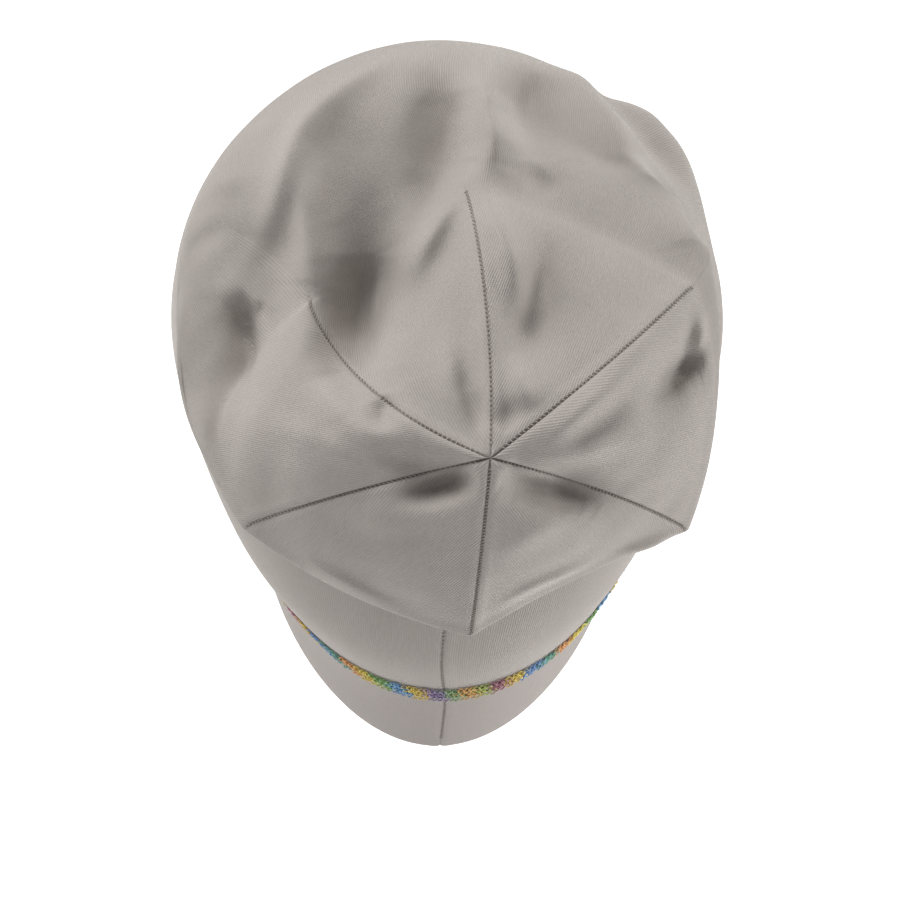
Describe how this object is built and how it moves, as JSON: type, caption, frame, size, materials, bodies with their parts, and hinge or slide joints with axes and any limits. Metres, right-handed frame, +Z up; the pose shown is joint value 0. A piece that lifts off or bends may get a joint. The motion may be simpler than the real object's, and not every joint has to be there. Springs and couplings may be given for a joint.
{
  "type": "long pull-on jersey cap worn like a turban",
  "caption": "Soft pull-on cap of fine cotton jersey with a long darted crown that hangs down behind, a doubled hem band and a stripe of coloured stitching round the joint.",
  "frame": {"origin": "centre of the head opening, in the plane of the hem", "axes": "+Z up on the wearer's head, -Y towards the wearer's face, +X towards the wearer's left"},
  "size_m": [0.202, 0.2076, 0.2469],
  "materials": {
    "jersey": "fine single cotton jersey, brushed matt",
    "band_jersey": "the same jersey, doubled and slightly stretched",
    "thread": "loose loops of space-dyed thread in yellow, green, blue and mauve"
  },
  "bodies": {
    "root": {"crown": "jersey", "hem_band": "band_jersey", "stitched_stripe": "thread"}
  },
  "joints": []
}
